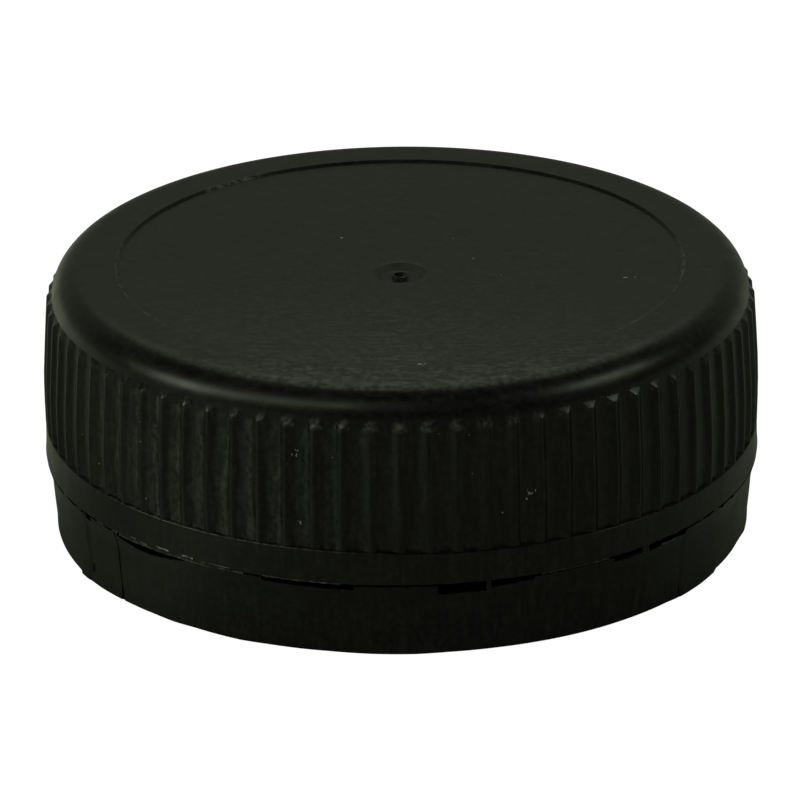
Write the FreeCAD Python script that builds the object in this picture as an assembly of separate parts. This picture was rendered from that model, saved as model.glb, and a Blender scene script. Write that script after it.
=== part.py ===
import FreeCAD, Part
import math
import os

from FreeCAD import Vector

# Screw cap with a tamper-evident band, injection moulded in one piece.
# Millimetres. The origin is the centre of the band's bottom rim, and +Z points up to the panel.
# Angles are in degrees round the cap, from the front (-Y) and positive towards +X.

# Overall
cap_height = 19.4
collar_radius = 25.5

# Panel and shoulder. Inside the ring step the panel sinks to its middle.
panel_edge_thickness = 1.35
panel_middle_thickness = 1.2
panel_sink = 0.76
ring_radius = 20.1
ring_step = 0.2
ring_step_slope = 0.12
shoulder_rounding = 2.35

# Gate mark in the middle of the panel
gate_dimple_radius = 1.9
gate_dimple_depth = 0.3
gate_stub_radius = 0.55
gate_stub_height = 0.3
gate_stub_taper = 0.15
gate_tear_slope = 20.0

# Skirt. Its outside is drafted, and its inside is a straight bore.
skirt_wall = 1.12
skirt_draft = 0.3

# Grip ribs: nearly sharp ridges, which run out just below the shoulder's rounding
rib_count = 80
rib_phase = -0.35
rib_base_width = 1.0
rib_crest_width = 0.14
rib_height = 0.42
rib_end_slope = 45.0
rib_end_setback = 0.05

# Slit between skirt and band
slit_top = 5.5
slit_width = 0.13

# Collar at the foot of the ribs, which is widest just above the slit
collar_above_slit = 0.2
collar_side = 2.1
collar_edge_setback = 0.05
collar_beyond_ribs = 0.06

# Flare below the collar's widest place, which runs on across the slit into the band
flare_length = 1.6
flare_depth = 0.44

# Tamper-evident band, which narrows a little more below the flare
band_taper = 0.32
band_edge_bevel = 0.1

# Windows along the slit. Those at the front differ a little, those behind are evenly spaced.
window_depth = 0.65
window_pitch = 30.0
window_arc = 16.0
front_windows = ((-52.0, -34.3), (-22.6, -7.7), (5.4, 20.9), (35.3, 51.2))
first_back_window = 105.0
back_window_count = 6

# Bridges that tear at the first opening: angle and width
front_bridges = (
    (-66.8, 0.45),
    (-52.8, 0.45),
    (-23.8, 0.9),
    (-7.3, 0.4),
    (13.5, 0.4),
    (42.0, 0.75),
    (52.0, 0.45),
    (64.5, 0.45),
)
bridge_width = 0.45
bridge_depth = 0.55
bridge_setback = 0.05

# Upright tool lines in the band
seam_angles = (-52.3, 51.0)
seam_width = 0.22
seam_depth = 0.13

# Hooks inside the band, which catch the neck's bead
hook_count = 12
hook_arc = 17.0
hook_depth = 0.6
hook_foot = 0.9
hook_rise = 1.2
hook_crest_width = 0.4

# Thread, three starts, cut into short stretches by upright vents
thread_starts = 3
thread_lead = 9.0
thread_depth = 0.9
thread_root_width = 1.6
thread_crest_width = 0.7
thread_low = 9.3
thread_vent_pitch = 30.0
thread_vent_arc = 6.0
thread_stretches = 5

# Plug seal
plug_radius = 20.6
plug_wall = 1.0
plug_length = 2.95
plug_lead_length = 0.9
plug_lead_depth = 0.45

# How far a fused piece reaches into the wall that carries it
root_overlap = 0.15

# Places that follow from the sizes above
panel_edge = cap_height - ring_step
panel_middle = panel_edge - panel_sink
gutter_ceiling = panel_edge - panel_edge_thickness
mouth_ceiling = panel_middle - panel_middle_thickness
skirt_radius_foot = collar_radius - collar_beyond_ribs - rib_height
skirt_radius_top = skirt_radius_foot - skirt_draft
skirt_inner_radius = skirt_radius_foot - skirt_wall
rib_top = cap_height - shoulder_rounding - rib_end_setback
collar_edge_radius = collar_radius - collar_edge_setback
collar_widest_height = slit_top + collar_above_slit
collar_top = collar_widest_height + collar_side
flare_foot_height = collar_widest_height - flare_length
flare_foot_radius = collar_radius - flare_depth
band_foot_radius = flare_foot_radius - band_taper
band_inner_radius = skirt_inner_radius
band_top = slit_top - slit_width
window_floor = slit_top - window_depth
thread_crest_radius = skirt_inner_radius - thread_depth

ORIGIN = Vector(0, 0, 0)
UP = Vector(0, 0, 1)
FRONT_FROM_X = -90.0


def line(start, end):
    return Part.LineSegment(start, end).toShape()


def arc(start, through, end):
    return Part.Arc(start, through, end).toShape()


def section(corners):
    """A closed outline in the XZ plane. Each corner is (radius, height, rounding)."""
    points = [Vector(radius, 0, height) for radius, height, rounding in corners]
    bends = []
    for index, (radius, height, rounding) in enumerate(corners):
        corner = points[index]
        if not rounding:
            bends.append((corner, None, corner))
            continue
        back = (points[index - 1] - corner).normalize()
        ahead = (points[(index + 1) % len(points)] - corner).normalize()
        half_angle = back.getAngle(ahead) / 2
        reach = rounding / math.tan(half_angle)
        inward = (back + ahead).normalize()
        nearest = corner + inward * (rounding / math.sin(half_angle) - rounding)
        bends.append((corner + back * reach, nearest, corner + ahead * reach))
    edges = []
    for index, (start, nearest, end) in enumerate(bends):
        if nearest:
            edges.append(arc(start, nearest, end))
        edges.append(line(end, bends[(index + 1) % len(bends)][0]))
    return Part.Face(Part.Wire(edges))


def turned(face, sweep=360.0):
    return face.revolve(ORIGIN, UP, sweep)


def placed(shape, angle, rise=0.0):
    """A copy of a shape that lies along +X, turned to its angle round the cap."""
    copy = shape.copy()
    copy.rotate(ORIGIN, UP, angle + FRONT_FROM_X)
    copy.translate(UP * rise)
    return copy


def sector(low_radius, high_radius, low, high, start, end):
    """A stretch of a ring between two angles."""
    corners = ((low_radius, low, 0), (high_radius, low, 0), (high_radius, high, 0), (low_radius, high, 0))
    return placed(turned(section(corners), end - start), start)


def skirt_radius(height):
    """Outside of the skirt between the ribs, which widens downwards by its draft."""
    share = (cap_height - height) / (cap_height - collar_top)
    return skirt_radius_top + (skirt_radius_foot - skirt_radius_top) * share


def flare_radius(height):
    """Outside of the flare, which narrows from the collar's widest place downwards."""
    share = (height - flare_foot_height) / (collar_widest_height - flare_foot_height)
    return flare_foot_radius + (collar_radius - flare_foot_radius) * share


def closure():
    """Sunk panel with its ring step, shoulder, skirt, collar and plug seal, turned from one section."""
    plug_tip = gutter_ceiling - plug_length
    corners = (
        (0, panel_middle, 0),
        (ring_radius - ring_step_slope, panel_edge, 0),
        (ring_radius, cap_height, 0),
        (skirt_radius_top, cap_height, shoulder_rounding),
        (skirt_radius_foot, collar_top, 0),
        (collar_edge_radius, collar_top, 0),
        (collar_radius, collar_widest_height, 0),
        (flare_radius(slit_top), slit_top, 0),
        (skirt_inner_radius, slit_top, 0),
        (skirt_inner_radius, gutter_ceiling, 0),
        (plug_radius, gutter_ceiling, 0),
        (plug_radius, plug_tip + plug_lead_length, 0),
        (plug_radius - plug_lead_depth, plug_tip, 0),
        (plug_radius - plug_wall, plug_tip, 0),
        (plug_radius - plug_wall, mouth_ceiling, 0),
        (0, mouth_ceiling, 0),
    )
    return turned(section(corners))


def gate_dimple():
    """Round hollow that the hot runner's tip leaves."""
    ball_radius = (gate_dimple_radius ** 2 + gate_dimple_depth ** 2) / (2 * gate_dimple_depth)
    return Part.makeSphere(ball_radius, Vector(0, 0, panel_middle - gate_dimple_depth + ball_radius))


def gate_stub():
    """Torn stub of the sprue in the dimple, with a sloping end."""
    floor_height = panel_middle - gate_dimple_depth
    stub_height = gate_stub_height + root_overlap
    foot = Vector(0, 0, floor_height - root_overlap)
    stub = Part.makeCone(gate_stub_radius, gate_stub_radius - gate_stub_taper, stub_height, foot)
    knife_size = 4 * gate_stub_radius
    knife = Part.makeBox(knife_size, knife_size, knife_size, Vector(-knife_size / 2, -knife_size / 2, 0))
    knife.rotate(ORIGIN, Vector(1, 0, 0), gate_tear_slope)
    knife.translate(Vector(0, 0, floor_height + gate_stub_height - gate_stub_taper))
    return stub.cut(knife)


def towards_apex(point, height):
    """Where the line from a point to the apex of the skirt's cone passes a height."""
    apex = collar_top + skirt_radius_foot * (cap_height - collar_top) / skirt_draft
    share = (apex - height) / (apex - point.z)
    return Vector(point.x * share, point.y * share, height)


def ridge(corners, top):
    """A solid between a flat outline and its smaller likeness nearer to the apex."""
    likeness = [towards_apex(corner, top) for corner in corners]
    faces = [Part.Face(Part.makePolygon(ring + ring[:1])) for ring in (corners, likeness)]
    for index, corner in enumerate(corners):
        before = index - 1
        side = [corners[before], corner, likeness[index], likeness[before], corners[before]]
        faces.append(Part.Face(Part.makePolygon(side)))
    return Part.Solid(Part.Shell(faces))


def rib():
    """One grip rib: a drafted ridge with sloping flanks, whose top runs out at a slope."""
    foot = collar_top - root_overlap
    surface = skirt_radius(foot)
    root_radius = surface - skirt_draft - root_overlap
    root_half = rib_base_width / 2
    root_half += (rib_base_width - rib_crest_width) / 2 / rib_height * (surface - root_radius)
    body = ridge([
        Vector(root_radius, -root_half, foot),
        Vector(surface + rib_height, -rib_crest_width / 2, foot),
        Vector(surface + rib_height, rib_crest_width / 2, foot),
        Vector(root_radius, root_half, foot),
    ], cap_height)
    knife = Part.makeBox(2 * cap_height, cap_height, cap_height, Vector(-cap_height, -cap_height / 2, 0))
    knife.rotate(ORIGIN, Vector(0, 1, 0), rib_end_slope)
    knife.translate(Vector(skirt_radius(rib_top), 0, rib_top))
    return body.cut(knife)


def ribs():
    first = rib()
    pitch = 360.0 / rib_count
    return [placed(first, rib_phase + index * pitch) for index in range(rib_count)]


def thread():
    """Short helical ridges of all starts, each cut to the same crest cylinder."""
    arc_length = thread_vent_pitch - thread_vent_arc
    rise_per_degree = thread_lead / 360.0
    helix = Part.makeHelix(thread_lead, arc_length * rise_per_degree, skirt_inner_radius)
    root = skirt_inner_radius + root_overlap
    tip = thread_crest_radius - root_overlap
    slope = (thread_root_width - thread_crest_width) / 2 / (skirt_inner_radius - thread_crest_radius)
    root_half = thread_root_width / 2 + slope * root_overlap
    tip_half = thread_crest_width / 2 - slope * root_overlap
    profile = Part.makePolygon([
        Vector(root, 0, -root_half),
        Vector(tip, 0, -tip_half),
        Vector(tip, 0, tip_half),
        Vector(root, 0, root_half),
        Vector(root, 0, -root_half),
    ])
    ridge = Part.Wire(helix).makePipeShell([profile], True, True)
    height = thread_lead + thread_root_width
    tube = Part.makeCylinder(root, height, Vector(0, 0, -thread_root_width))
    tube = tube.cut(Part.makeCylinder(thread_crest_radius, height, Vector(0, 0, -thread_root_width)))
    stretch = ridge.common(tube)
    stretches = []
    for start in range(thread_starts):
        for step in range(thread_stretches):
            along = step * thread_vent_pitch
            angle = start * 360.0 / thread_starts + along
            stretches.append(placed(stretch, angle, thread_low + along * rise_per_degree))
    return stretches


def hooks():
    """Catches inside the band: a long lead-in below and a steep catching side above."""
    wall = band_inner_radius + root_overlap
    crest_radius = band_inner_radius - hook_depth
    crest_foot = hook_foot + hook_rise
    crest_top = crest_foot + hook_crest_width
    corners = (
        (wall, hook_foot, 0),
        (band_inner_radius, hook_foot, 0),
        (crest_radius, crest_foot, 0),
        (crest_radius, crest_top, 0),
        (wall, crest_top, 0),
    )
    first = turned(section(corners), hook_arc)
    pitch = 360.0 / hook_count
    return [placed(first, index * pitch - hook_arc / 2) for index in range(hook_count)]


def windows():
    """The places where the slit is wide, as stretches to cut out of the band's top."""
    spans = list(front_windows)
    for index in range(back_window_count):
        middle = first_back_window + index * window_pitch
        spans.append((middle - window_arc / 2, middle + window_arc / 2))
    inside = band_inner_radius - root_overlap
    outside = collar_radius
    return [sector(inside, outside, window_floor, slit_top, start, end) for start, end in spans]


def bridge(width):
    """A post across the slit, near the outside, rooted in band and skirt."""
    outside = flare_radius(window_floor) - bridge_setback
    height = window_depth + 2 * root_overlap
    corner = Vector(outside - bridge_depth, -width / 2, window_floor - root_overlap)
    return Part.makeBox(bridge_depth, width, height, corner)


def bridges():
    posts = [placed(bridge(width), angle) for angle, width in front_bridges]
    for index in range(back_window_count):
        posts.append(placed(bridge(bridge_width), first_back_window + index * window_pitch))
    return posts


def band():
    """The tamper-evident band with its windows cut and its hooks added."""
    corners = (
        (flare_radius(band_top), band_top, 0),
        (band_inner_radius, band_top, 0),
        (band_inner_radius, 0, 0),
        (band_foot_radius - band_edge_bevel, 0, 0),
        (band_foot_radius, band_edge_bevel, 0),
        (flare_foot_radius, flare_foot_height, 0),
    )
    ring = turned(section(corners)).cut(windows())
    return ring.fuse(hooks())


def seams():
    """Narrow grooves down the outside of the band, as deep all the way down."""
    outline = (
        (band_foot_radius, 0),
        (flare_foot_radius, flare_foot_height),
        (flare_radius(band_top), band_top),
    )
    floor = [(radius - seam_depth, height, 0) for radius, height in outline]
    mouth = [(radius + root_overlap, height, 0) for radius, height in reversed(outline)]
    seam_arc = math.degrees(seam_width / band_foot_radius)
    groove = turned(section(floor + mouth), seam_arc)
    return [placed(groove, angle - seam_arc / 2) for angle in seam_angles]


def screw_cap():
    cap = closure().cut(gate_dimple())
    cap = cap.fuse([gate_stub()] + ribs() + thread())
    ring = band().cut(seams())
    cap = cap.fuse([ring] + bridges())
    return cap.removeSplitter()


os.makedirs("parts", exist_ok=True)
cap = screw_cap()
print("solids", len(cap.Solids), "valid", cap.isValid(), "volume", round(cap.Volume, 1))
cap.exportStep("parts/screw_cap.step")
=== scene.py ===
import math
import random

import bmesh
import bpy
from mathutils import Matrix, Vector, noise


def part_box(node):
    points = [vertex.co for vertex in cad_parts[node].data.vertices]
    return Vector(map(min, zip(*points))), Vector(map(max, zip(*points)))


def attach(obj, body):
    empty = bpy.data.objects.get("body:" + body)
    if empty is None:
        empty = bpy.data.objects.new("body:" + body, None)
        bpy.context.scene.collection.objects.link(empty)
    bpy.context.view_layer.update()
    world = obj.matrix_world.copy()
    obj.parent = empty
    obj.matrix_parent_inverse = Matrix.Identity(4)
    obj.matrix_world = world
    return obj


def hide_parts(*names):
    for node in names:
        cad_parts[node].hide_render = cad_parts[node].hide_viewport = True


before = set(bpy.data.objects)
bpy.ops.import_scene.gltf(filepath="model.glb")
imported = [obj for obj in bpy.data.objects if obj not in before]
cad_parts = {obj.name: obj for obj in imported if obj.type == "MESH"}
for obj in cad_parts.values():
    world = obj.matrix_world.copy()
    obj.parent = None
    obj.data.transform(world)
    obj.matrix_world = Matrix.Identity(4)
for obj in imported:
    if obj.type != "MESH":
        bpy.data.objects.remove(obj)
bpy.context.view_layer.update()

# Shell: panel, shoulder, skirt, collar and plug seal of a bottle cap, all one moulding of black
# polyethylene. The mould gives it a sunk panel with a step round it, and the skirt shrank a little bowed.
# It is turned here ring by ring from one outline, and the ribs are pulled out of it further down.
mm = 0.001
cap_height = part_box("screw_cap")[1][2]
bore_radius = 23.9 * mm
# Profiles are rows of (height, radius) in millimetres, and angles run from the front towards +X.
skirt_profile = (
    (8.6, 25.08), (9.6, 25.105), (11.0, 25.115), (12.0, 25.095), (13.0, 25.04), (14.0, 24.985),
    (15.0, 24.925), (16.0, 24.86), (16.6, 24.82), (16.86, 24.8), (17.05, 24.78))
collar_radius = 25.47 * mm
collar_widest_height = 5.68 * mm
collar_top = 7.8 * mm
collar_profile = ((5.9, 25.455), (6.2, 25.435), (6.6, 25.42), (7.2, 25.412))
ledge_profile = ((7.84, 25.375), (7.88, 25.12), (7.98, 25.08))
flare_profile = ((4.1, 25.06), (4.35, 25.13), (4.7, 25.225), (5.1, 25.34), (5.5, 25.45))
slit_top = 5.5 * mm
shoulder_rounding = 2.35 * mm
ring_radius = 20.1 * mm
ring_step = 0.2 * mm
ring_slope = 0.13 * mm
panel_sink = 0.76 * mm
panel_edge_thickness = 1.35 * mm
panel_middle_thickness = 1.2 * mm
panel_rings = 9
hub_radius = 3.0 * mm
plug_radius = 20.6 * mm
plug_wall = 1.0 * mm
plug_length = 2.95 * mm
plug_lead_length = 0.9 * mm
plug_lead_depth = 0.45 * mm
soft = 0.06 * mm             # how far the mould's plain edges are softened
rib_count = 80
rib_phase = math.radians(-0.35)
rib_top = 17.27 * mm
rib_foot_radius = 25 * mm
rib_base_half = 0.52 * mm / rib_foot_radius
rib_crest_half = 0.1 * mm / rib_foot_radius
columns_per_rib = 5

panel_edge = cap_height - ring_step
recess_radius = ring_radius - ring_slope
gutter_ceiling = panel_edge - panel_edge_thickness
mouth_ceiling = panel_edge - panel_sink - panel_middle_thickness
plug_tip = gutter_ceiling - plug_length
shoulder_radius = skirt_profile[-1][1] * mm
shoulder_centre = (shoulder_radius - shoulder_rounding, cap_height - shoulder_rounding)
shoulder_start = math.degrees(math.asin((rib_top - shoulder_centre[1]) / shoulder_rounding))
shell_columns = rib_count * columns_per_rib
column = 2 * math.pi / shell_columns
rib_pitch = 2 * math.pi / rib_count


def front_angle(point):
    return math.atan2(point.x, -point.y)


def off_rib(angle):
    """Angle from the nearest rib's middle."""
    return (angle - rib_phase + rib_pitch / 2) % rib_pitch - rib_pitch / 2


def from_rib(point):
    return off_rib(front_angle(point))


def done():
    bpy.ops.object.mode_set(mode="OBJECT")


def pick(piece, wanted, kind="VERT"):
    """Selects just the vertices, edges or faces that the test wants."""
    bpy.ops.mesh.select_mode(type=kind)
    bpy.ops.mesh.select_all(action="DESELECT")
    mesh = bmesh.from_edit_mesh(piece.data)
    parts = {"VERT": mesh.verts, "EDGE": mesh.edges, "FACE": mesh.faces}[kind]
    for part in parts:
        if wanted(part):
            part.select_set(True)
    mesh.select_flush_mode()
    bmesh.update_edit_mesh(piece.data)


def circle(name, columns, radius, height):
    """A ring of vertices in edit mode, all selected."""
    bpy.ops.object.select_all(action="DESELECT")
    bpy.ops.mesh.primitive_circle_add(vertices=columns, radius=radius, location=(0, 0, height))
    piece = bpy.context.object
    piece.name = name
    bpy.ops.object.transform_apply()
    bpy.ops.object.mode_set(mode="EDIT")
    bpy.ops.mesh.select_all(action="SELECT")
    return piece


def turn_selected(angle):
    """Turns what is selected about the axis, from the front towards +X. The operator turns the other way."""
    bpy.ops.transform.rotate(value=-angle, orient_axis="Z", center_override=(0, 0, 0))


def swell_selected(share, centre=(0, 0, 0)):
    bpy.ops.transform.resize(value=(share, share, 1), center_override=centre)


def pull_rings(outline):
    """Extrudes the selected ring through an outline of (radius, height), from its first point."""
    radius, height = outline[0]
    for next_radius, next_height in outline[1:]:
        bpy.ops.mesh.extrude_edges_move()
        swell_selected(next_radius / radius)
        bpy.ops.transform.translate(value=(0, 0, next_height - height))
        radius, height = next_radius, next_height


def rounded(centre, radius, start, end, steps):
    """Points of a round corner in an outline, with angles from the outward direction."""
    points = []
    for step in range(steps + 1):
        angle = math.radians(start + (end - start) * step / steps)
        points.append((centre[0] + radius * math.cos(angle), centre[1] + radius * math.sin(angle)))
    return points


def panel_height(radius):
    """The panel sinks from its edge to its middle in one even curve."""
    return panel_edge - panel_sink * (1 - (radius / recess_radius) ** 2)


def on_profile(profile, place):
    """Value at a place on a profile of (place, value) points, in the profile's own units."""
    for (low, low_value), (high, high_value) in zip(profile, profile[1:]):
        if place <= high:
            break
    return low_value + (place - low) / (high - low) * (high_value - low_value)


def radius_at(profile, height):
    return on_profile(profile, height / mm) * mm


def rings(profile):
    """A profile as an outline, in metres."""
    return [(radius * mm, height * mm) for height, radius in profile]


outline = [
    (plug_radius - plug_wall, mouth_ceiling),
    (plug_radius - plug_wall, plug_tip + 2 * soft),
    (plug_radius - plug_wall + soft, plug_tip),
    (plug_radius - plug_lead_depth - soft, plug_tip),
    (plug_radius - plug_lead_depth, plug_tip + soft),
    (plug_radius - soft / 2, plug_tip + plug_lead_length - soft),
    (plug_radius, plug_tip + plug_lead_length + soft),
    (plug_radius, gutter_ceiling),
    (bore_radius, gutter_ceiling),
    (bore_radius, slit_top + soft),
    (bore_radius + soft, slit_top),
    (radius_at(flare_profile, slit_top) - soft, slit_top),
    (radius_at(flare_profile, slit_top), slit_top + soft / 3),
    (collar_radius, collar_widest_height),
]
outline += rings(collar_profile)
collar_edge_radius = collar_profile[-1][1] * mm
outline += rounded((collar_edge_radius - soft, collar_top - soft), soft, 0, 90, 3)
outline += rings(ledge_profile) + rings(skirt_profile[:-1])
outline += rounded(shoulder_centre, shoulder_rounding, shoulder_start, 90, 14)
outline += [
    (ring_radius + 3 * soft, cap_height),
    (ring_radius + soft / 2, cap_height),
    (ring_radius, cap_height - soft / 2),
    (recess_radius, panel_edge + soft / 2),
    (recess_radius - soft / 2, panel_height(recess_radius - soft / 2)),
    (recess_radius - 3 * soft, panel_height(recess_radius - 3 * soft)),
]
for step in range(1, panel_rings + 1):
    radius = recess_radius + (hub_radius - recess_radius) * step / panel_rings
    outline.append((radius, panel_height(radius)))

shell = circle("cap_shell", shell_columns, *outline[0])
turn_selected(rib_phase + column / 2)

# The columns on a rib's flanks move to the true widths of its base and its crest.
for side in (-1, 1):
    for place, target in ((1.5, rib_base_half), (0.5, rib_crest_half)):
        middle = side * place * column
        pick(shell, lambda vertex: abs(from_rib(vertex.co) - middle) < column / 4)
        turn_selected(side * target - middle)
bpy.ops.mesh.select_all(action="SELECT")
pull_rings(outline)

# Under the panel the disc inside the plug is flat, so one face closes it.
pick(shell, lambda edge: edge.is_boundary and edge.verts[0].co.z < mouth_ceiling + soft, "EDGE")
bpy.ops.mesh.edge_face_add()
done()


# Gate mark: the hollow and the torn stub that the hot runner's tip leaves in the panel's middle.
# It is the same plastic, whitened a little where it tore. Its rings go on from the panel's own.
gate_columns = 80
gate_start = hub_radius - 0.3 * mm
dimple_radius = 1.9 * mm
dimple_depth = 0.4 * mm
stub_radius = 0.56 * mm
stub_height = 0.3 * mm
crater_depth = 0.26 * mm
tear_depth = 0.05 * mm
tear_grain = 2200
dimple_floor = panel_height(0) - dimple_depth


def choose(piece):
    """Selects just this piece, for the operators that follow."""
    bpy.ops.object.select_all(action="DESELECT")
    bpy.context.view_layer.objects.active = piece
    piece.select_set(True)


def edit(piece):
    choose(piece)
    bpy.ops.object.mode_set(mode="EDIT")


def join(name, pieces):
    bpy.ops.object.select_all(action="DESELECT")
    for piece in pieces:
        piece.select_set(True)
    bpy.context.view_layer.objects.active = pieces[0]
    bpy.ops.object.join()
    pieces[0].name = name
    return pieces[0]


gate_outline = [
    (gate_start, panel_height(gate_start)),
    (dimple_radius + 0.1 * mm, panel_height(dimple_radius)),
    (dimple_radius - 0.02 * mm, panel_height(dimple_radius) - 0.03 * mm),
    (dimple_radius - 0.5 * mm, dimple_floor + 0.03 * mm),
    (dimple_radius - 0.65 * mm, dimple_floor),
    (1.2 * stub_radius, dimple_floor),
    (stub_radius, dimple_floor + 0.3 * stub_height),
    (0.95 * stub_radius, dimple_floor + 0.8 * stub_height),
    (0.84 * stub_radius, dimple_floor + stub_height),
    (0.76 * stub_radius, dimple_floor + 0.95 * stub_height),
    (0.66 * stub_radius, dimple_floor + stub_height - crater_depth),
    (0.25 * stub_radius, dimple_floor + stub_height - 1.15 * crater_depth),
]
gate = circle("gate_mark", gate_columns, *gate_outline[0])
pull_rings(gate_outline)
bpy.ops.mesh.edge_face_add()
bpy.ops.mesh.poke()
done()
# The stub is torn all round, and its edge is lowest at the front.
noise.seed_set(5)            # without a seed each run tears it another way
for vertex in gate.data.vertices:
    point = vertex.co
    if math.hypot(point.x, point.y) < 1.1 * stub_radius:
        torn = noise.noise_vector(point * tear_grain)
        lift = max(0, (point.z - dimple_floor) / stub_height)
        vertex.co += torn * tear_depth * lift
        front_dip = math.exp(-((point.y + 0.75 * stub_radius) / (0.3 * stub_radius)) ** 2)
        vertex.co.z -= 0.25 * stub_height * lift * front_dip

shell = join("cap_shell", [shell, gate])
edit(shell)
pick(shell, lambda edge: edge.is_boundary, "EDGE")
bpy.ops.mesh.bridge_edge_loops()


# Grip ribs: eighty nearly sharp ridges of the same moulding. Each runs out under the shoulder in a
# sloping end and stands on the collar's ledge. The tool's edges leave them slightly rounded.
rib_height = 0.36 * mm
rib_end = 16.86 * mm
crest_round = 0.11 * mm
root_round = 0.2 * mm
sliver = 0.02 * mm           # two places closer than this are taken as one
crest_profile = [(7.84, 25.38), (7.88, 25.42), (7.98, 25.43)]
crest_profile += [(height, radius + rib_height / mm) for height, radius in skirt_profile[:-1]]


def wall_radius(point):
    return math.hypot(point.x, point.y)


def on_skirt(point):
    between = crest_profile[0][0] * mm - sliver / 2 < point.z < rib_top + sliver / 2
    return between and wall_radius(point) > bore_radius + rib_height


def in_crest(point):
    return abs(from_rib(point)) < 2 * rib_crest_half


def is_crest(point):
    if not on_skirt(point) or not in_crest(point) or point.z > rib_end + sliver / 2:
        return False
    return abs(wall_radius(point) - radius_at(crest_profile, point.z)) < sliver


def is_rib_base(point):
    return on_skirt(point) and abs(abs(from_rib(point)) - rib_base_half) < rib_base_half / 8


def is_end_corner(point):
    return is_rib_base(point) and abs(point.z - rib_top) < sliver / 2


def crest_edge(edge):
    a, b = edge.verts[0].co, edge.verts[1].co
    return is_crest(a) and is_crest(b) and abs(a.z - b.z) > sliver


def root_edge(edge):
    a, b = edge.verts[0].co, edge.verts[1].co
    upright = is_rib_base(a) and is_rib_base(b) and abs(a.z - b.z) > sliver
    low, high = min(a.z, b.z), max(a.z, b.z)
    return upright and low > skirt_profile[0][0] * mm - sliver and high < rib_end + sliver


for (height, radius), (_, crest_radius) in zip(ledge_profile + skirt_profile, crest_profile):
    pick(shell, lambda vertex: on_skirt(vertex.co) and in_crest(vertex.co)
         and abs(vertex.co.z - height * mm) < sliver / 2)
    swell_selected(crest_radius / radius)
# Edges from the crest's end to the base's upper corners make the sloping end.
pick(shell, lambda vertex: is_end_corner(vertex.co)
     or (is_crest(vertex.co) and vertex.co.z > rib_end - sliver))
bpy.ops.mesh.vert_connect()
pick(shell, crest_edge, "EDGE")
bpy.ops.mesh.bevel(offset=crest_round, segments=3, clamp_overlap=True)
pick(shell, root_edge, "EDGE")
bpy.ops.mesh.bevel(offset=root_round, segments=3, clamp_overlap=True)
bpy.ops.mesh.select_all(action="SELECT")
bpy.ops.mesh.normals_make_consistent(inside=False)
done()

# Wear, dust and painted light: the rib ends are made lighter, most at the front, and a painted highlight
# runs along the collar's upper edge on the left. The ring step has a painted glint at the back left and is
# lighter at both sides, painted sheen lightens the rim and the panel before the gate, and grey dust lies
# between the ribs, mostly on the left, with more on the ribs' left flanks as painted light and less on their
# right flanks as painted shade.
wear_and_sheen = shell.data.attributes.new("wear_and_sheen", "FLOAT", "POINT")
# Each row has an angle in degrees and the amount there.
# Collar's upper edge: a painted highlight, on the left.
collar_edge_highlight = (
    (-180, 0.0), (-58, 0.0), (-50, 0.6), (-36, 0.9), (-22, 0.6), (-8, 0.2), (0, 0.0), (180, 0.0))
dust_between = (
    (-180, 0.0), (-75, 0.02), (-60, 0.13), (-45, 0.24), (-28, 0.24), (-14, 0.08), (0, 0.02), (40, 0.0),
    (180, 0.0))
# Rib ends: made lighter, most at the front.
rib_end_lightening = (
    (-180, 0.1), (-60, 0.1), (-30, 0.16), (-14, 0.4), (6, 0.38), (20, 0.16), (70, 0.1), (180, 0.1))
# Rim: painted sheen, lightest at the front.
rim_sheen = (
    (-180, 0.0), (-65, 0.0), (-40, 0.08), (-22, 0.27), (22, 0.27), (40, 0.1), (65, 0.0), (180, 0.0))
# Ring step: a painted glint at the back left, and lighter at both sides.
step_glint_and_sides = (
    (-180, 0.0), (-152, 0.0), (-147, 0.5), (-139, 0.45), (-133, 0.0), (-103, 0.0), (-94, 0.35),
    (-60, 0.5), (-40, 0.0), (38, 0.0), (52, 0.6), (85, 0.55), (96, 0.2), (102, 0.0), (180, 0.0))
rim_depth = 0.3 * mm
# Panel before the gate: painted sheen, lighter towards the front.
panel_sheen_middle = Vector((-2 * mm, -20 * mm, 0))
panel_sheen_reach = 14 * mm
panel_sheen_amount = 0.19
stub_amount = 0.14
# The ribs' left flanks get more of it as painted light, their right flanks less as painted shade.
dust_and_light_left_of_rib = 1.25
dust_in_shade_right_of_rib = 0.35
dust_on_wall = 0.85
dust_on_crest = 0.15


def top_wear_and_sheen(point, radius, angle):
    """Painted sheen on the panel and the rim, a painted glint and lighter sides on the step, and wear on the
    gate's stub.
    """
    if recess_radius - soft / 4 < radius < ring_radius + soft:
        return on_profile(step_glint_and_sides, angle)
    if point.z > cap_height - rim_depth and radius > ring_radius:
        return on_profile(rim_sheen, angle)
    if point.z > panel_height(0) - sliver and dimple_radius < radius < recess_radius:
        away = math.hypot(point.x - panel_sheen_middle.x, point.y - panel_sheen_middle.y) / panel_sheen_reach
        return panel_sheen_amount * math.exp(-away ** 2)
    if radius < 1.1 * stub_radius and point.z > dimple_floor - crater_depth:
        return stub_amount
    return 0.0


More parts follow.
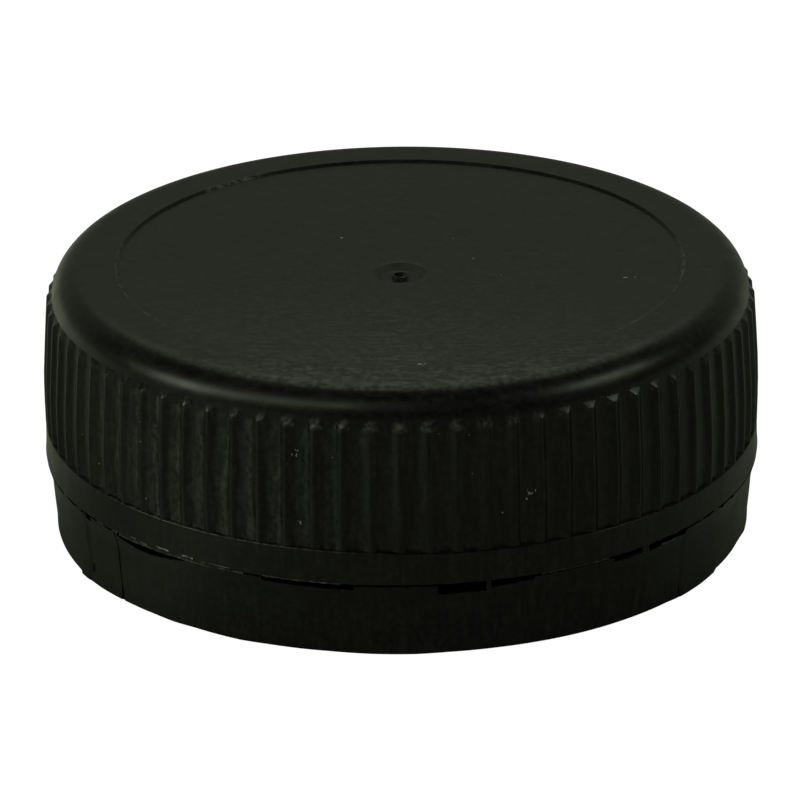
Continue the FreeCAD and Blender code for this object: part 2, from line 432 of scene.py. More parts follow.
def side_wear_and_sheen(point, angle):
    """Lighter rib ends, a painted highlight on the collar's upper edge, and dust between the ribs, heavier on
    the left flanks as painted light.
    """
    along = from_rib(point) / rib_base_half       # 0 on the crest, 1 and -1 at the rib's feet
    if rib_end - sliver < point.z < rib_top + sliver:
        return on_profile(rib_end_lightening, angle) * (abs(along) < 0.95)
    if collar_top - 0.5 * soft < point.z < collar_top + sliver:
        return on_profile(collar_edge_highlight, angle)
    if collar_top + sliver < point.z < rib_end:
        share = dust_on_wall
        if abs(along) < 1.4:
            share = dust_and_light_left_of_rib if along < 0 else dust_in_shade_right_of_rib
        share *= min(1, max(dust_on_crest, 2.5 * abs(along) - 0.6))
        return on_profile(dust_between, angle) * share
    return 0.0


for vertex in shell.data.vertices:
    radius = wall_radius(vertex.co)
    angle = math.degrees(front_angle(vertex.co))
    if radius > bore_radius + rib_height:
        wear_and_sheen.data[vertex.index].value = side_wear_and_sheen(vertex.co, angle)
    else:
        wear_and_sheen.data[vertex.index].value = top_wear_and_sheen(vertex.co, radius, angle)

# The collar's upper edge lies higher on the left than on the right.
ledge_slant = 0.1 * mm
ledge_height = 7.95 * mm
ledge_reach = 1.5 * mm
ledge_turn = math.radians(4)
for vertex in shell.data.vertices:
    away = abs(vertex.co.z - ledge_height)
    if wall_radius(vertex.co) > bore_radius + rib_height and away < ledge_reach:
        share = min(1, 2 - away / (ledge_reach / 2))
        vertex.co.z -= ledge_slant * share * math.tanh(4 * math.sin(front_angle(vertex.co) - ledge_turn))

# The slit was cut by a knife, so its edges wander up and down a little.
slit_noise = 0.05 * mm
cut_waves = 25


def uneven(piece, height, reach):
    for vertex in piece.data.vertices:
        if abs(vertex.co.z - height) < reach:
            angle = front_angle(vertex.co)
            around = Vector((math.cos(angle), math.sin(angle), 0)) * cut_waves
            vertex.co.z += slit_noise * noise.noise(around * 1.7) + 0.6 * slit_noise * noise.noise(around * 6.1)


uneven(shell, slit_top + soft / 2, soft)

# Plastic: black polyethylene, satin. A node group gives its mottle: the grain of the mould's surface, fine
# scuffs from the carton and dust in the grain. Torn and worn faces are a little whitened, and the same
# lighter colour paints highlights, a glint and sheen where the mask asks for them.
clean_colour = (0.0021, 0.0022, 0.0017, 1)
dusty_colour = (0.0078, 0.0083, 0.0066, 1)
# This lighter colour serves for whitened wear and for painted highlights and sheen.
wear_and_sheen_colour = (0.052, 0.055, 0.046, 1)
crease_angle = math.radians(34)


def add_node(tree, kind, values=(), **settings):
    """A shader node with its settings, and the values of inputs by name or number."""
    node = tree.nodes.new("ShaderNode" + kind)
    for name, value in settings.items():
        setattr(node, name, value)
    for key, value in dict(values).items():
        node.inputs[key].default_value = value
    return node


def wire(tree, *rows):
    """One link for each row of node, output, node and input."""
    for source, output, target, entry in rows:
        tree.links.new(source.outputs[output], target.inputs[entry])


def mottle_group():
    group = bpy.data.node_groups.new("mottle", "ShaderNodeTree")
    group.interface.new_socket(name="Vector", in_out="INPUT", socket_type="NodeSocketVector")
    for name, kind in (("Roughness", "Float"), ("Dust", "Float"), ("Normal", "Vector")):
        group.interface.new_socket(name=name, in_out="OUTPUT", socket_type="NodeSocket" + kind)
    entry = group.nodes.new("NodeGroupInput")
    out = group.nodes.new("NodeGroupOutput")
    grain = add_node(group, "TexNoise", {"Scale": 2600, "Detail": 3})
    patches = add_node(group, "TexNoise", {"Scale": 520, "Detail": 1})
    gloss = add_node(group, "MapRange", {"From Min": 0.3, "From Max": 0.7, "To Min": 0.285, "To Max": 0.37})
    bump = add_node(group, "Bump", {"Distance": 0.00008, "Strength": 0.25})
    # Scuffs lie across the panel and stand upright on the skirt.
    across = add_node(group, "Mapping", {"Scale": (1300, 2600, 2600)})
    scuffs = add_node(group, "TexNoise", {"Scale": 1, "Detail": 2})
    upright = add_node(group, "Mapping", {"Scale": (2800, 2800, 420)})
    streaks = add_node(group, "TexNoise", {"Scale": 1, "Detail": 3})
    place = add_node(group, "SeparateXYZ")
    on_panel = add_node(group, "MapRange", {"From Min": 17.0 * mm, "From Max": 18.4 * mm})
    rubbed = add_node(group, "Mix")
    both = add_node(group, "Math", operation="MULTIPLY")
    dust = add_node(group, "MapRange", {"From Min": 0.17, "From Max": 0.42})
    wire(group,
         (entry, "Vector", grain, "Vector"),
         (entry, "Vector", patches, "Vector"),
         (entry, "Vector", across, "Vector"),
         (entry, "Vector", upright, "Vector"),
         (entry, "Vector", place, "Vector"),
         (across, "Vector", scuffs, "Vector"),
         (upright, "Vector", streaks, "Vector"),
         (place, "Z", on_panel, "Value"),
         (on_panel, "Result", rubbed, "Factor"),
         (streaks, "Fac", rubbed, "A"),
         (scuffs, "Fac", rubbed, "B"),
         (rubbed, "Result", both, 0),
         (grain, "Fac", both, 1),
         (both, "Value", dust, "Value"),
         (patches, "Fac", gloss, "Value"),
         (patches, "Fac", bump, "Height"),
         (gloss, "Result", out, "Roughness"),
         (dust, "Result", out, "Dust"),
         (bump, "Normal", out, "Normal"))
    return group


def plastic():
    material = bpy.data.materials.new("black_plastic")
    material.use_nodes = True
    tree = material.node_tree
    surface = tree.nodes["Principled BSDF"]
    surface.inputs["IOR"].default_value = 1.5
    where = add_node(tree, "TexCoord")
    mottle = add_node(tree, "Group", node_tree=mottle_group())
    wear_and_sheen_amount = add_node(tree, "Attribute", attribute_name="wear_and_sheen")
    dusty = add_node(tree, "Mix", {"A": clean_colour, "B": dusty_colour}, data_type="RGBA")
    whitened = add_node(tree, "Mix", {"B": wear_and_sheen_colour}, data_type="RGBA")
    more_in_grain = add_node(tree, "Math", {1: 2.2, 2: 0.2}, operation="MULTIPLY_ADD")
    uneven_wear_and_sheen = add_node(tree, "Math", operation="MULTIPLY", use_clamp=True)
    wire(tree,
         (where, "Object", mottle, "Vector"),
         (mottle, "Dust", dusty, "Factor"),
         (mottle, "Dust", more_in_grain, 0),
         (wear_and_sheen_amount, "Fac", uneven_wear_and_sheen, 0),
         (more_in_grain, "Value", uneven_wear_and_sheen, 1),
         (dusty, "Result", whitened, "A"),
         (uneven_wear_and_sheen, "Value", whitened, "Factor"),
         (whitened, "Result", surface, "Base Color"),
         (mottle, "Roughness", surface, "Roughness"),
         (mottle, "Normal", surface, "Normal"))
    return material


black_plastic = plastic()


def finish_moulding(piece):
    """Gives a finished piece of the moulding its plastic and its place in the frame."""
    piece.data.materials.clear()
    piece.data.materials.append(black_plastic)
    choose(piece)
    bpy.ops.object.shade_smooth_by_angle(angle=crease_angle)
    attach(piece, "root")
    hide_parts("screw_cap")


finish_moulding(shell)


# Screw thread: three starts of rounded ridges on the bore, the same moulding. Upright vents cut them
# into short stretches, so that the mould can be unscrewed and air gets out as the cap goes on.
thread_starts = 3
thread_stretches = 5
thread_lead = 9.0 * mm
thread_depth = 0.9 * mm
thread_root_half = 0.8 * mm
thread_crest_half = 0.35 * mm
thread_low = 9.3 * mm
vent_pitch = math.radians(30)
vent_arc = math.radians(6)
root_overlap = 0.15 * mm
thread_softness = 0.12 * mm


def sweep_round(name, corners, start, span, steps, rise=0.0):
    """A solid swept round the axis from a section of (radius, height) corners, at angles from the front."""
    bpy.ops.object.select_all(action="DESELECT")
    bpy.ops.mesh.primitive_circle_add(vertices=len(corners), fill_type="NGON")
    piece = bpy.context.object
    piece.name = name
    for vertex, (radius, height) in zip(piece.data.vertices, corners):
        vertex.co = (radius * math.sin(start), -radius * math.cos(start), height)
    bpy.ops.object.mode_set(mode="EDIT")
    bpy.ops.mesh.select_all(action="SELECT")
    for step in range(steps):
        bpy.ops.mesh.extrude_region_move()
        turn_selected(span / steps)
        bpy.ops.transform.translate(value=(0, 0, rise / steps))
    bpy.ops.mesh.select_all(action="SELECT")
    bpy.ops.mesh.normals_make_consistent(inside=False)
    done()
    return piece


def copy_round(piece, angle, rise=0.0):
    """A copy with its own mesh, turned about the axis and raised."""
    copy = piece.copy()
    copy.data = piece.data.copy()
    bpy.context.collection.objects.link(copy)
    copy.data.transform(Matrix.Translation((0, 0, rise)) @ Matrix.Rotation(angle, 4, "Z"))
    return copy


def apply_modifier(piece, kind, **settings):
    modifier = piece.modifiers.new(kind.title(), kind)
    for key, value in settings.items():
        setattr(modifier, key, value)
    choose(piece)
    bpy.ops.object.modifier_apply(modifier=modifier.name)


def soften(piece, width, sharper_than=30):
    apply_modifier(piece, "BEVEL", width=width, segments=2, limit_method="ANGLE",
                   angle_limit=math.radians(sharper_than))


thread_section = [
    (bore_radius + root_overlap, thread_low - thread_root_half),
    (bore_radius - thread_depth, thread_low - thread_crest_half),
    (bore_radius - thread_depth, thread_low + thread_crest_half),
    (bore_radius + root_overlap, thread_low + thread_root_half),
]
rise_per_turn = thread_lead / (2 * math.pi)
thread_arc = vent_pitch - vent_arc
stretch = sweep_round("thread_stretch", thread_section, 0, thread_arc, 12, thread_arc * rise_per_turn)
soften(stretch, thread_softness)
stretches = []
for start in range(thread_starts):
    for step in range(thread_stretches):
        along = step * vent_pitch
        turn = 2 * math.pi * start / thread_starts + along
        stretches.append(copy_round(stretch, turn, along * rise_per_turn))
bpy.data.objects.remove(stretch)
thread = join("thread", stretches)
finish_moulding(thread)


# Tamper-evident band: a thin ring of the same moulding, which a knife cut off the skirt's flared foot.
# It narrows downwards, and its top edge is a little uneven where the slit was cut.
band_columns = 720
band_profile = (
    (0.15, 24.765), (0.6, 24.775), (1.0, 24.79), (1.7, 24.855), (2.4, 24.925), (3.2, 24.99),
    (3.8, 25.03)) + flare_profile[:-1]
band_foot_bevel = 0.12 * mm
slit_width = 0.13 * mm
band_top = slit_top - slit_width
band_top_radius = radius_at(flare_profile, band_top)
band_foot_radius = band_profile[0][1] * mm
band_outline = [
    (bore_radius, soft),
    (bore_radius, band_top - soft),
    (bore_radius + soft, band_top),
    (band_top_radius - soft, band_top),
    (band_top_radius, band_top - soft / 2),
]
band_outline += rings(reversed(band_profile))
band_outline += [
    (band_foot_radius - 0.3 * band_foot_bevel, 0.3 * band_foot_bevel),
    (band_foot_radius - band_foot_bevel, 0),
    (bore_radius + soft, 0),
    (bore_radius, soft),
]
band = circle("band", band_columns, *band_outline[0])
pull_rings(band_outline)
bpy.ops.mesh.select_all(action="SELECT")
bpy.ops.mesh.remove_doubles(threshold=sliver / 10)
bpy.ops.mesh.normals_make_consistent(inside=False)
done()

# The parts of the mould that slide out sideways met a little unevenly: the band's front lies slightly
# deeper than its sides, and near both seams its foot runs out and in. Rows of (degrees, millimetres).
side_step = (
    (-90, 0.0), (-62.2, 0.03), (-61.8, -0.05), (-52.6, -0.03), (-52.2, -0.04), (51.0, -0.04),
    (51.7, 0.0), (75.8, 0.0), (76.2, 0.03), (90, 0.0))
foot_change = (
    (-90, 0.0), (-69, 0.03), (-66, 0.06), (-65, 0.24), (-61.9, 0.24), (-58, 0.22), (-54, 0.14),
    (-50, 0.08), (-44, 0.04), (-40, 0.1), (-36, 0.01), (-27, 0.14), (-22, 0.02), (-12, -0.02),
    (-5, 0.08), (2, 0.1), (7, -0.03), (15, -0.05), (30, 0.04), (48, 0.04), (51, 0.15), (57, 0.1),
    (62.5, 0.0), (64, -0.16), (77, -0.15), (80, 0.0), (90, 0.0))
foot_reach = 1.1 * mm
for vertex in band.data.vertices:
    point = vertex.co
    angle = math.degrees(front_angle(point))
    if wall_radius(point) > bore_radius + 2 * soft and abs(angle) < 90:
        change = on_profile(side_step, angle)
        change += on_profile(foot_change, angle) * max(0, 1 - point.z / foot_reach)
        share = 1 + change * mm / wall_radius(point)
        vertex.co = (point.x * share, point.y * share, point.z)
uneven(band, band_top - soft / 2, soft)

# Windows: the places where the slit is wide, moulded into the band's top. The four at the front are
# uneven in length and in the height of their floors. Those behind are out of the photograph's view
# and are evenly spaced.
window_depth = 0.65 * mm
window_pitch = 30.0
window_arc = 16.0
front_windows = ((-52.0, -36.5), (-22.6, -7.7), (5.4, 20.9), (35.3, 51.2))
# Each row has an angle in degrees and the floor's height there in millimetres.
window_floors = (
    (-52.0, 5.12), (-49.5, 4.94), (-46.5, 4.76), (-43.0, 4.8), (-39.0, 5.04), (-36.5, 5.26),
    (-22.6, 5.12), (-18.0, 5.05), (-10.0, 5.0), (-7.7, 5.0), (5.4, 4.62), (12.8, 4.7), (14.2, 4.9),
    (20.9, 5.12), (35.3, 4.95), (41.3, 5.02), (42.8, 4.9), (51.2, 5.0))
first_back_window = 105.0
back_window_count = 6
cuts_per_degree = 3
cut_overlap = 0.5 * mm
floor_reach = 0.6 * mm
window_floor = slit_top - window_depth
window_section = [
    (bore_radius - cut_overlap, window_floor),
    (bore_radius - cut_overlap, slit_top),
    (collar_radius, slit_top),
    (collar_radius, window_floor),
]


def sweep_degrees(name, corners, start, end, steps):
    return sweep_round(name, corners, math.radians(start), math.radians(end - start), steps)


back_middles = [first_back_window + index * window_pitch for index in range(back_window_count)]
spans = list(front_windows) + [(middle - window_arc / 2, middle + window_arc / 2) for middle in back_middles]
cutters = []
for start, end in spans:
    cutter = sweep_degrees("window", window_section, start, end, round(end - start) * cuts_per_degree)
    if (start, end) in front_windows:
        for vertex in cutter.data.vertices:
            if vertex.co.z < window_floor + sliver:
                vertex.co.z = on_profile(window_floors, math.degrees(front_angle(vertex.co))) * mm
    uneven(cutter, window_floor, floor_reach)
    cutters.append(cutter)
# Four small notches, where the cut tore out, and a pinhole in the band's foot at the left step: first
# and last degree, lowest and highest millimetre.
notches = (
    (-61.4, -59.6, 4.95, 5.6), (61.6, 62.6, 5.2, 5.6), (65.4, 66.6, 5.25, 5.6), (57.2, 57.8, 5.3, 5.6),
    (-61.5, -61.0, 0.8, 1.4))
notch_bottom = 24.6 * mm
notch_outside = 25.7 * mm
for start, end, low, high in notches:
    notch_section = [(notch_bottom, low * mm), (notch_bottom, high * mm),
                     (notch_outside, high * mm), (notch_outside, low * mm)]
    cutters.append(sweep_degrees("notch", notch_section, start, end, 2))


def cut_away(piece, cutters):
    cutter = join("cutter", cutters)
    apply_modifier(piece, "BOOLEAN", object=cutter, operation="DIFFERENCE", solver="EXACT")
    bpy.data.objects.remove(cutter)


cut_away(band, cutters)

# Seams: fine upright grooves on the band's outside, where the mould's sliding parts met. Each has its
# angle in degrees, and its width and depth in millimetres.
seams = ((-52.1, 0.4, 0.08), (-23.3, 0.12, 0.012), (-7.3, 0.1, 0.012), (50.9, 0.14, 0.03))
seam_wall = [(0.0, 24.76), *band_profile, (5.6, 25.45)]
seam_drop = 0.05
seam_reach = 0.3
cutters = []
for angle, seam_width, seam_depth in seams:
    seam_section = [(radius * mm - seam_depth * mm, (height - seam_drop) * mm) for height, radius in seam_wall]
    seam_section += [(radius * mm + seam_reach * mm, (height - seam_drop) * mm)
                     for height, radius in reversed(seam_wall)]
    span = seam_width * mm / collar_radius
    cutters.append(sweep_round("seam", seam_section, math.radians(angle) - span / 2, span, 1))
cut_away(band, cutters)
finish_moulding(band)


# Bridges: small posts across the slit that hold the band until the first opening. They are the same
# moulding, drawn in a little at their middle, and they stand near the outside of the wall.
front_bridges = (
    (-66.8, 0.45), (-52.8, 0.45), (-23.8, 0.9), (-7.3, 0.4), (13.5, 0.4), (42.0, 0.75), (52.0, 0.45),
    (64.5, 0.45))
bridge_width = 0.45
bridge_depth = 0.55 * mm
bridge_setback = 0.05 * mm
bridge_waist = 0.78
bridge_softness = 0.04 * mm


def bridge(angle, width):
    low = window_floor - root_overlap
    high = slit_top + root_overlap
    outside = radius_at(flare_profile, window_floor) - bridge_setback
    centre = (0, -outside + bridge_depth / 2, (low + high) / 2)
    bpy.ops.object.select_all(action="DESELECT")
    bpy.ops.mesh.primitive_cube_add(size=1, scale=(width * mm, bridge_depth, high - low), location=centre)
    post = bpy.context.object
    bpy.ops.object.transform_apply()
    edit(post)
    bpy.ops.mesh.select_all(action="SELECT")
    bpy.ops.mesh.subdivide(number_cuts=3)
    pick(post, lambda vertex: abs(vertex.co.z - centre[2]) < sliver)
    swell_selected(bridge_waist, centre)
    done()
    soften(post, bridge_softness, 50)
    post.data.transform(Matrix.Rotation(math.radians(angle), 4, "Z"))
    return post


places = list(front_bridges) + [(middle, bridge_width) for middle in back_middles]
bridges = join("bridges", [bridge(angle, width) for angle, width in places])
finish_moulding(bridges)


# Burrs: thin lips and flakes of the same plastic, which the knife left along the slit, mostly on the left.
# They stand a little proud of the wall and catch the light.
# Each row has the first and last degree and, in millimetres, its top, how far it hangs and stands out.
burr_places = (
    (-50.8, -36.2, 5.54, 0.17, 0.03), (-57.0, -54.6, 5.52, 0.1, 0.05), (-52.6, -51.3, 5.56, 0.12, 0.05),
    (-48.6, -46.6, 5.74, 0.13, 0.06), (-45.6, -44.0, 5.64, 0.1, 0.05), (-42.0, -39.4, 5.8, 0.14, 0.06),
    (-36.8, -34.6, 5.74, 0.13, 0.07), (-38.5, -25.6, 5.5, 0.14, 0.04), (-33.0, -27.6, 5.66, 0.07, 0.04),
    (-22.3, -9.6, 5.56, 0.08, 0.03), (-69.4, -67.4, 5.5, 0.1, 0.04), (-64.0, -62.2, 5.5, 0.09, 0.05),
    (45.4, 49.6, 5.08, 0.14, -0.12), (53.6, 55.4, 5.58, 0.09, 0.05), (58.8, 60.2, 5.56, 0.1, 0.05),
    (22.0, 34.0, 5.5, 0.05, 0.02))
burr_root = 0.06
burr_jitter = 0.035 * mm
burr_grain = 2800
# Their colour is lightened as a painted highlight.
burr_highlight = 0.45
burrs = []
for start, end, top, hang, proud in burr_places:
    wall = radius_at(flare_profile, min(top, 5.5) * mm) / mm
    burr_section = [
        (top, wall - burr_root), (top, wall + 0.3 * proud), (top - 0.6 * hang, wall + proud),
        (top - hang, wall + 0.5 * proud), (top - 0.9 * hang, wall - burr_root)]
    steps = max(4, round((end - start) * cuts_per_degree))
    burr = sweep_degrees("burr", rings(burr_section), start, end, steps)
    for vertex in burr.data.vertices:
        place = vertex.co * burr_grain
        vertex.co += noise.noise_vector(place) * burr_jitter
        vertex.co.z += 0.35 * hang * mm * noise.noise(place * 0.3)
    burrs.append(burr)
burrs = join("burrs", burrs)
wear_and_sheen = burrs.data.attributes.new("wear_and_sheen", "FLOAT", "FACE")
for face in burrs.data.polygons:
    wear_and_sheen.data[face.index].value = burr_highlight
finish_moulding(burrs)


# Hooks: twelve catches inside the band, with a long lead-in below and a steep side above, which
# catch under the bead of the bottle's neck. The same moulding again.
hook_count = 12
hook_arc = math.radians(17)
hook_depth = 0.6 * mm
hook_foot = 0.9 * mm
hook_rise = 1.2 * mm
hook_crest_width = 0.4 * mm
hook_softness = 0.08 * mm
hook_section = [
    (bore_radius + root_overlap, hook_foot),
    (bore_radius, hook_foot),
    (bore_radius - hook_depth, hook_foot + hook_rise),
    (bore_radius - hook_depth, hook_foot + hook_rise + hook_crest_width),
    (bore_radius + root_overlap, hook_foot + hook_rise + hook_crest_width),
]
hook = sweep_round("hook", hook_section, -hook_arc / 2, hook_arc, 10)
soften(hook, hook_softness)
hooks = join("hooks", [copy_round(hook, 2 * math.pi * index / hook_count) for index in range(hook_count)])
bpy.data.objects.remove(hook)
finish_moulding(hooks)


# Dust: specks and two smears of grey dust and lint, which lie on the panel and cling to the ribs.
# They are loose lumps, a few hundredths of a millimetre high.
# On the panel each has its x and y in millimetres, its size and how much longer than wide it is.
panel_specks = (
    (-4.18, 6.58, 0.08, 1.4), (3.83, 6.27, 0.045, 1), (5.21, 2.45, 0.055, 1.5), (15.9, -2.6, 0.06, 2.6),
    (16.6, -2.62, 0.05, 1.4), (13.6, -15.34, 0.06, 2.4), (14.1, -15.2, 0.04, 1), (1.3, -18.75, 0.1, 1.8),
    (1.65, -18.7, 0.08, 1), (1.5, -18.95, 0.05, 1), (7.15, -0.94, 0.04, 1), (-2.1, -9.8, 0.03, 1))
# On the side each has its angle in degrees, its height, its size and its stretch.
side_specks = (
    (-16.1, 9.72, 0.06, 2), (-16.5, 9.8, 0.03, 1), (-10.9, 14.68, 0.045, 1), (0.9, 9.85, 0.05, 1.5),
    (10.6, 16.21, 0.03, 1), (5.8, 16.44, 0.03, 1), (11.0, 13.39, 0.04, 1), (15.8, 10.34, 0.045, 1),
    (-57.2, 9.73, 0.05, 1.4), (-62.4, 11.18, 0.05, 1), (-44.6, 8.96, 0.05, 1.3), (-45.2, 13.2, 0.05, 1.2),
    (-45.5, 14.6, 0.035, 1.5))
# A smear has its angle, its height, how far it reaches and how many specks it has.
smears = ((-16.9, 14.6, 0.3, 12), (20.6, 11.6, 0.2, 7))
degrees_per_mm = 2.2
lump_depth = 0.8
lump_grain = 900
speck_height = 0.4
dust_colour = (0.17, 0.178, 0.15, 1)
speck_random = random.Random(7)


def speck(place, outward, size, stretch):
    """A lump of dust that lies flat on the plastic, longer one way by the stretch."""
    bpy.ops.object.select_all(action="DESELECT")
    bpy.ops.mesh.primitive_ico_sphere_add(subdivisions=2, radius=size * mm)
    grain = bpy.context.object
    for vertex in grain.data.vertices:
        vertex.co *= 1 + lump_depth * noise.noise(vertex.co / (size * mm) * 1.3 + place * lump_grain)
    flat = Matrix.Diagonal((stretch, 1, speck_height, 1))
    facing = outward.to_track_quat("Z", "X").to_matrix().to_4x4()
    grain.data.transform(Matrix.Translation(place) @ facing @ flat)
    return grain


def side_speck(angle, height, size, stretch):
    turn = math.radians(angle)
    radius = radius_at(skirt_profile, height * mm)
    share = abs(off_rib(turn)) / rib_base_half
    if share < 1:
        radius += rib_height * min(1, 1.1 * (1 - share))
    place = Vector((radius * math.sin(turn), -radius * math.cos(turn), height * mm))
    return speck(place, Vector((math.sin(turn), -math.cos(turn), 0)), size, stretch)


specks = []
for x, y, size, stretch in panel_specks:
    height = panel_height(math.hypot(x, y) * mm)
    specks.append(speck(Vector((x * mm, y * mm, height)), Vector((0, 0, 1)), size, stretch))
for row in side_specks:
    specks.append(side_speck(*row))
for angle, height, reach, count in smears:
    for index in range(count):
        near_angle = angle + speck_random.gauss(0, reach) * degrees_per_mm
        near_height = height + speck_random.gauss(0, reach)
        size = speck_random.uniform(0.02, 0.07)
        specks.append(side_speck(near_angle, near_height, size, speck_random.uniform(1, 2)))
dust = join("dust", specks)
dust_material = bpy.data.materials.new("dust")
dust_material.use_nodes = True
surface = dust_material.node_tree.nodes["Principled BSDF"]
surface.inputs["Base Color"].default_value = dust_colour
surface.inputs["Roughness"].default_value = 0.9
dust.data.materials.clear()
dust.data.materials.append(dust_material)
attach(dust, "root")


# Floor: not part of the cap. It is white to the camera and keeps the cap's shadow. In the plastic's
# gloss it is dim, as in the photograph, with painted lighter and darker patches by direction that stand
# in for lamp light on the table, and under the cap it is dark.
floor_tint = (0.91, 1.0, 0.76)
floor_shadow_depth = 0.12
under_cap_radius = 24 * mm
# Each row has a share of a turn, from the left over the front, and how light the floor is painted there.
painted_floor_light = (
    (0.0, 0.2), (0.026, 0.15), (0.061, 0.17), (0.09, 0.24), (0.12, 0.29), (0.164, 0.17), (0.25, 0.13),
    (0.30, 0.13), (0.336, 0.12), (0.371, 0.12), (0.406, 0.15), (0.439, 0.15), (0.474, 0.19), (0.5, 0.21),
    (0.5425, 0.24), (0.587, 0.33), (0.62, 0.32), (0.75, 0.3), (0.86, 0.6), (0.91, 0.5), (0.95, 0.31),
    (0.98, 0.28), (1.0, 0.2))


def add_ramp(tree, rows, tint=(1, 1, 1)):
    """A colour ramp whose rows have a place and a shade of the tint."""
    ramp = add_node(tree, "ValToRGB")
    stops = ramp.color_ramp.elements
    while len(stops) < len(rows):
        stops.new(0.5)
    for stop, (place, shade) in zip(stops, rows):
        stop.position = place
        stop.color = [shade * channel for channel in tint] + [1]
    return ramp


def floor_material():
    material = bpy.data.materials.new("floor")
    material.use_nodes = True
    tree = material.node_tree
    tree.nodes.remove(tree.nodes["Principled BSDF"])
    where = add_node(tree, "TexCoord")
    direction = add_node(tree, "TexGradient", gradient_type="RADIAL")
    painted_floor_ramp = add_ramp(tree, painted_floor_light, floor_tint)
    dim = add_node(tree, "BsdfDiffuse")
    shadow = add_node(tree, "BsdfDiffuse", {"Color": (floor_shadow_depth,) * 3 + (1,)})
    white = add_node(tree, "Emission")
    seen = add_node(tree, "AddShader")
    distance = add_node(tree, "VectorMath", operation="LENGTH")
    outside = add_node(tree, "Math", {1: under_cap_radius}, operation="GREATER_THAN")
    ray = add_node(tree, "LightPath")
    to_camera = add_node(tree, "Math", operation="MULTIPLY")
    mix = add_node(tree, "MixShader")
    wire(tree,
         (where, "Object", direction, "Vector"),
         (direction, "Fac", painted_floor_ramp, "Fac"),
         (painted_floor_ramp, "Color", dim, "Color"),
         (where, "Object", distance, 0),
         (distance, "Value", outside, 0),
         (ray, "Is Camera Ray", to_camera, 0),
         (outside, "Value", to_camera, 1),
         (shadow, "BSDF", seen, 0),
         (white, "Emission", seen, 1),
         (to_camera, "Value", mix, "Fac"),
         (dim, "BSDF", mix, 1),
         (seen, "Shader", mix, 2),
         (mix, "Shader", tree.nodes["Material Output"], "Surface"))
    return material


bpy.ops.object.select_all(action="DESELECT")
bpy.ops.mesh.primitive_plane_add(size=6, location=(0, 0, -0.02 * mm))
floor = bpy.context.object
floor.name = "floor"
floor.data.materials.append(floor_material())

# Room: not part of the cap. It is white to the camera and an even light for the cap's own colour. In the
# cap's gloss it is dim behind the cap, by height, and nearly dark before it.
even_light = 0.75
room_tint = (0.87, 1.0, 0.70, 1)
gloss_before = 0.1
gloss_by_height = (
    (0.0, 0.13), (0.22, 0.155), (0.33, 0.128), (0.42, 0.128), (0.5, 0.15), (0.6, 0.15), (0.8, 0.1),
    (1.0, 0.05))
world = bpy.data.worlds.new("studio")
bpy.context.scene.world = world
world.use_nodes = True
room = world.node_tree
ray = add_node(room, "LightPath")
where = add_node(room, "TexCoord")
split = add_node(room, "SeparateXYZ")
behind = add_node(
    room, "MapRange", {"From Min": 0.35, "From Max": 0.7, "To Min": gloss_before, "To Max": 1})
by_height = add_ramp(room, gloss_by_height)
strength = add_node(room, "Math", operation="MULTIPLY")
gloss = room.nodes["Background"]
gloss.inputs["Color"].default_value = room_tint
even = add_node(room, "Background", {"Strength": even_light})
white = add_node(room, "Background")
soft_or_gloss = add_node(room, "MixShader")
seen = add_node(room, "MixShader")
wire(room,
     (where, "Generated", split, "Vector"),
     (split, "Y", behind, "Value"),
     (split, "Z", by_height, "Fac"),
     (behind, "Result", strength, 0),
     (by_height, "Color", strength, 1),
     (strength, "Value", gloss, "Strength"),
     (ray, "Is Diffuse Ray", soft_or_gloss, "Fac"),
     (gloss, "Background", soft_or_gloss, 1),
     (even, "Background", soft_or_gloss, 2),
     (ray, "Is Camera Ray", seen, "Fac"),
     (soft_or_gloss, "Shader", seen, 1),
     (white, "Background", seen, 2),
     (seen, "Shader", room.nodes["World Output"], "Surface"))


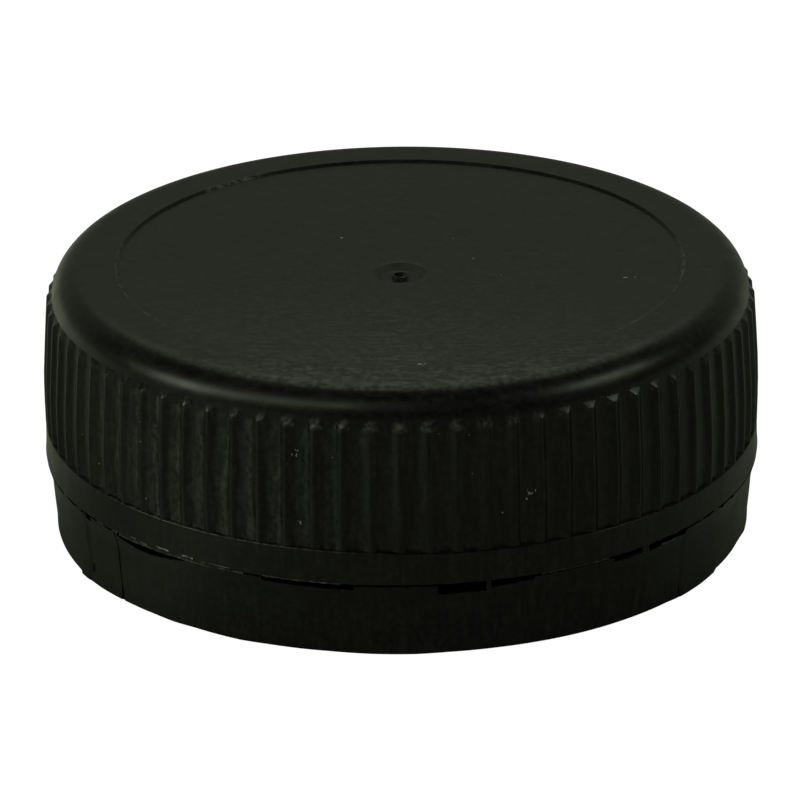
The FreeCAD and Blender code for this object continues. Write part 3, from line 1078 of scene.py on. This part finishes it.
# Lamps: not part of the cap. Soft boxes stand where the photograph's highlights on the shoulder, the
# panel and the ribs ask for them.
def lamp(name, azimuth, elevation, distance, wide, high, brightness, turn=0.0):
    """A lamp that faces the cap. Azimuth is from the back, positive towards +X, and its size is in degrees."""
    light = bpy.data.lights.new(name, "AREA")
    light.shape = "RECTANGLE"
    light.size = 2 * distance * math.tan(math.radians(wide / 2))
    light.size_y = 2 * distance * math.tan(math.radians(high / 2))
    light.energy = brightness * math.pi * light.size * light.size_y
    light.color = floor_tint
    holder = bpy.data.objects.new(name, light)
    bpy.context.collection.objects.link(holder)
    a, e = math.radians(azimuth), math.radians(elevation)
    direction = Vector((math.sin(a) * math.cos(e), math.cos(a) * math.cos(e), math.sin(e)))
    facing = direction.to_track_quat("Z", "Y").to_matrix().to_4x4()
    holder.matrix_world = (
        Matrix.Translation(direction * distance + Vector((0, 0, cap_height)))
        @ facing @ Matrix.Rotation(math.radians(turn), 4, "Z"))


lamp("left_lamp", -104, 20.5, 0.8, 15, 15, 4.8)
lamp("left_front_lamp", -137, 34.5, 0.8, 40, 13, 1.6, 25)
lamp("front_lamp", -168, 48, 0.8, 36, 14, 0.17)
lamp("right_lamp", 102, 35.5, 0.8, 23, 13, 2.5)
lamp("back_lamp", 0, 57, 0.9, 44, 46, 0.32)

# Camera: at the photograph's angle, far off and with a long lens, so that the cap is as large and as
# foreshortened as it is there.
camera_place = (0, -467.47 * mm, 203.88 * mm)
camera_pitch = math.radians(22.668)
camera_roll = -0.00961
camera_yaw = 0.0002
camera_data = bpy.data.cameras.new("camera")
camera_data.sensor_width = 36
camera_data.lens = 318.8
camera_data.clip_end = 20
camera = bpy.data.objects.new("camera", camera_data)
bpy.context.collection.objects.link(camera)
camera.matrix_world = (
    Matrix.Translation(camera_place)
    @ Matrix.Rotation(camera_yaw, 4, "Z")
    @ Matrix.Rotation(math.pi / 2 - camera_pitch, 4, "X")
    @ Matrix.Rotation(camera_roll, 4, "Z"))
bpy.context.scene.camera = camera
bpy.context.scene.view_settings.view_transform = "Standard"
